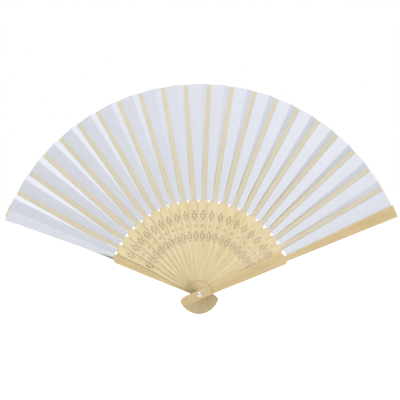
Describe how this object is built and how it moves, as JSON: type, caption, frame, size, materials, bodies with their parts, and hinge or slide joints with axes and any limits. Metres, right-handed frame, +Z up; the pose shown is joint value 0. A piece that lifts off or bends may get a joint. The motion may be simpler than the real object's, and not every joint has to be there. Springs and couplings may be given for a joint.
{
  "type": "folding hand fan",
  "caption": "Folding hand fan with pierced pale wood sticks between two wider guards, a rivet pivot and a pleated white fabric leaf.",
  "frame": {"origin": "centre of the rivet, midway through the stack of sticks, where the hand holds the fan", "axes": "+Z up through the middle of the open fan, +X to the right as seen from the front, +Y towards the back; the front guard faces -Y"},
  "size_m": [0.3921, 0.0193, 0.2297],
  "materials": {
    "stick_wood": "pale, lightly sanded, unvarnished",
    "guard_wood": "pale, sanded, slight satin",
    "leaf_fabric": "fine satin weave, white",
    "rivet_metal": "bright plated, slightly worn"
  },
  "bodies": {
    "rear_guard": {"rear_guard": "guard_wood", "rivet": "rivet_metal", "rear_washer": "rivet_metal", "leaf_panel_00": "leaf_fabric"},
    "stick_01": {"stick_01": "stick_wood", "leaf_panel_01": "leaf_fabric"},
    "stick_02": {"stick_02": "stick_wood", "leaf_panel_02": "leaf_fabric"},
    "stick_03": {"stick_03": "stick_wood", "leaf_panel_03": "leaf_fabric"},
    "stick_04": {"stick_04": "stick_wood", "leaf_panel_04": "leaf_fabric"},
    "stick_05": {"stick_05": "stick_wood", "leaf_panel_05": "leaf_fabric"},
    "stick_06": {"stick_06": "stick_wood", "leaf_panel_06": "leaf_fabric"},
    "stick_07": {"stick_07": "stick_wood", "leaf_panel_07": "leaf_fabric"},
    "stick_08": {"stick_08": "stick_wood", "leaf_panel_08": "leaf_fabric"},
    "stick_09": {"stick_09": "stick_wood", "leaf_panel_09": "leaf_fabric"},
    "stick_10": {"stick_10": "stick_wood", "leaf_panel_10": "leaf_fabric"},
    "stick_11": {"stick_11": "stick_wood", "leaf_panel_11": "leaf_fabric"},
    "stick_12": {"stick_12": "stick_wood", "leaf_panel_12": "leaf_fabric"},
    "stick_13": {"stick_13": "stick_wood", "leaf_panel_13": "leaf_fabric"},
    "stick_14": {"stick_14": "stick_wood", "leaf_panel_14": "leaf_fabric"},
    "stick_15": {"stick_15": "stick_wood", "leaf_panel_15": "leaf_fabric"},
    "stick_16": {"stick_16": "stick_wood", "leaf_panel_16": "leaf_fabric"},
    "stick_17": {"stick_17": "stick_wood", "leaf_panel_17": "leaf_fabric"},
    "stick_18": {"stick_18": "stick_wood", "leaf_panel_18": "leaf_fabric"},
    "stick_19": {"stick_19": "stick_wood", "leaf_panel_19": "leaf_fabric"},
    "stick_20": {"stick_20": "stick_wood", "leaf_panel_20": "leaf_fabric"},
    "front_guard": {"front_guard": "guard_wood", "leaf_panel_21": "leaf_fabric"}
  },
  "joints": [
    {"name": "stick_01_fold", "type": "hinge", "parent": "rear_guard", "child": "stick_01", "pos_m": [0, 0, 0], "axis": [0, -1, 0], "range_deg": [0, 5.76]},
    {"name": "stick_02_fold", "type": "hinge", "parent": "stick_01", "child": "stick_02", "pos_m": [0, 0, 0], "axis": [0, -1, 0], "range_deg": [0, 6.36]},
    {"name": "stick_03_fold", "type": "hinge", "parent": "stick_02", "child": "stick_03", "pos_m": [0, 0, 0], "axis": [0, -1, 0], "range_deg": [0, 6.36]},
    {"name": "stick_04_fold", "type": "hinge", "parent": "stick_03", "child": "stick_04", "pos_m": [0, 0, 0], "axis": [0, -1, 0], "range_deg": [0, 6.36]},
    {"name": "stick_05_fold", "type": "hinge", "parent": "stick_04", "child": "stick_05", "pos_m": [0, 0, 0], "axis": [0, -1, 0], "range_deg": [0, 6.36]},
    {"name": "stick_06_fold", "type": "hinge", "parent": "stick_05", "child": "stick_06", "pos_m": [0, 0, 0], "axis": [0, -1, 0], "range_deg": [0, 6.36]},
    {"name": "stick_07_fold", "type": "hinge", "parent": "stick_06", "child": "stick_07", "pos_m": [0, 0, 0], "axis": [0, -1, 0], "range_deg": [0, 6.36]},
    {"name": "stick_08_fold", "type": "hinge", "parent": "stick_07", "child": "stick_08", "pos_m": [0, 0, 0], "axis": [0, -1, 0], "range_deg": [0, 6.36]},
    {"name": "stick_09_fold", "type": "hinge", "parent": "stick_08", "child": "stick_09", "pos_m": [0, 0, 0], "axis": [0, -1, 0], "range_deg": [0, 6.36]},
    {"name": "stick_10_fold", "type": "hinge", "parent": "stick_09", "child": "stick_10", "pos_m": [0, 0, 0], "axis": [0, -1, 0], "range_deg": [0, 6.36]},
    {"name": "stick_11_fold", "type": "hinge", "parent": "stick_10", "child": "stick_11", "pos_m": [0, 0, 0], "axis": [0, -1, 0], "range_deg": [0, 6.36]},
    {"name": "stick_12_fold", "type": "hinge", "parent": "stick_11", "child": "stick_12", "pos_m": [0, 0, 0], "axis": [0, -1, 0], "range_deg": [0, 6.36]},
    {"name": "stick_13_fold", "type": "hinge", "parent": "stick_12", "child": "stick_13", "pos_m": [0, 0, 0], "axis": [0, -1, 0], "range_deg": [0, 6.36]},
    {"name": "stick_14_fold", "type": "hinge", "parent": "stick_13", "child": "stick_14", "pos_m": [0, 0, 0], "axis": [0, -1, 0], "range_deg": [0, 6.36]},
    {"name": "stick_15_fold", "type": "hinge", "parent": "stick_14", "child": "stick_15", "pos_m": [0, 0, 0], "axis": [0, -1, 0], "range_deg": [0, 6.36]},
    {"name": "stick_16_fold", "type": "hinge", "parent": "stick_15", "child": "stick_16", "pos_m": [0, 0, 0], "axis": [0, -1, 0], "range_deg": [0, 6.36]},
    {"name": "stick_17_fold", "type": "hinge", "parent": "stick_16", "child": "stick_17", "pos_m": [0, 0, 0], "axis": [0, -1, 0], "range_deg": [0, 6.36]},
    {"name": "stick_18_fold", "type": "hinge", "parent": "stick_17", "child": "stick_18", "pos_m": [0, 0, 0], "axis": [0, -1, 0], "range_deg": [0, 6.36]},
    {"name": "stick_19_fold", "type": "hinge", "parent": "stick_18", "child": "stick_19", "pos_m": [0, 0, 0], "axis": [0, -1, 0], "range_deg": [0, 6.36]},
    {"name": "stick_20_fold", "type": "hinge", "parent": "stick_19", "child": "stick_20", "pos_m": [0, 0, 0], "axis": [0, -1, 0], "range_deg": [0, 6.36]},
    {"name": "front_guard_fold", "type": "hinge", "parent": "stick_20", "child": "front_guard", "pos_m": [0, 0, 0], "axis": [0, -1, 0], "range_deg": [0, 6.96]}
  ],
  "couplings": [
    {"joint": "stick_02_fold", "follows": "stick_01_fold", "ratio": 1.1042},
    {"joint": "stick_03_fold", "follows": "stick_01_fold", "ratio": 1.1042},
    {"joint": "stick_04_fold", "follows": "stick_01_fold", "ratio": 1.1042},
    {"joint": "stick_05_fold", "follows": "stick_01_fold", "ratio": 1.1042},
    {"joint": "stick_06_fold", "follows": "stick_01_fold", "ratio": 1.1042},
    {"joint": "stick_07_fold", "follows": "stick_01_fold", "ratio": 1.1042},
    {"joint": "stick_08_fold", "follows": "stick_01_fold", "ratio": 1.1042},
    {"joint": "stick_09_fold", "follows": "stick_01_fold", "ratio": 1.1042},
    {"joint": "stick_10_fold", "follows": "stick_01_fold", "ratio": 1.1042},
    {"joint": "stick_11_fold", "follows": "stick_01_fold", "ratio": 1.1042},
    {"joint": "stick_12_fold", "follows": "stick_01_fold", "ratio": 1.1042},
    {"joint": "stick_13_fold", "follows": "stick_01_fold", "ratio": 1.1042},
    {"joint": "stick_14_fold", "follows": "stick_01_fold", "ratio": 1.1042},
    {"joint": "stick_15_fold", "follows": "stick_01_fold", "ratio": 1.1042},
    {"joint": "stick_16_fold", "follows": "stick_01_fold", "ratio": 1.1042},
    {"joint": "stick_17_fold", "follows": "stick_01_fold", "ratio": 1.1042},
    {"joint": "stick_18_fold", "follows": "stick_01_fold", "ratio": 1.1042},
    {"joint": "stick_19_fold", "follows": "stick_01_fold", "ratio": 1.1042},
    {"joint": "stick_20_fold", "follows": "stick_01_fold", "ratio": 1.1042},
    {"joint": "front_guard_fold", "follows": "stick_01_fold", "ratio": 1.2083}
  ]
}
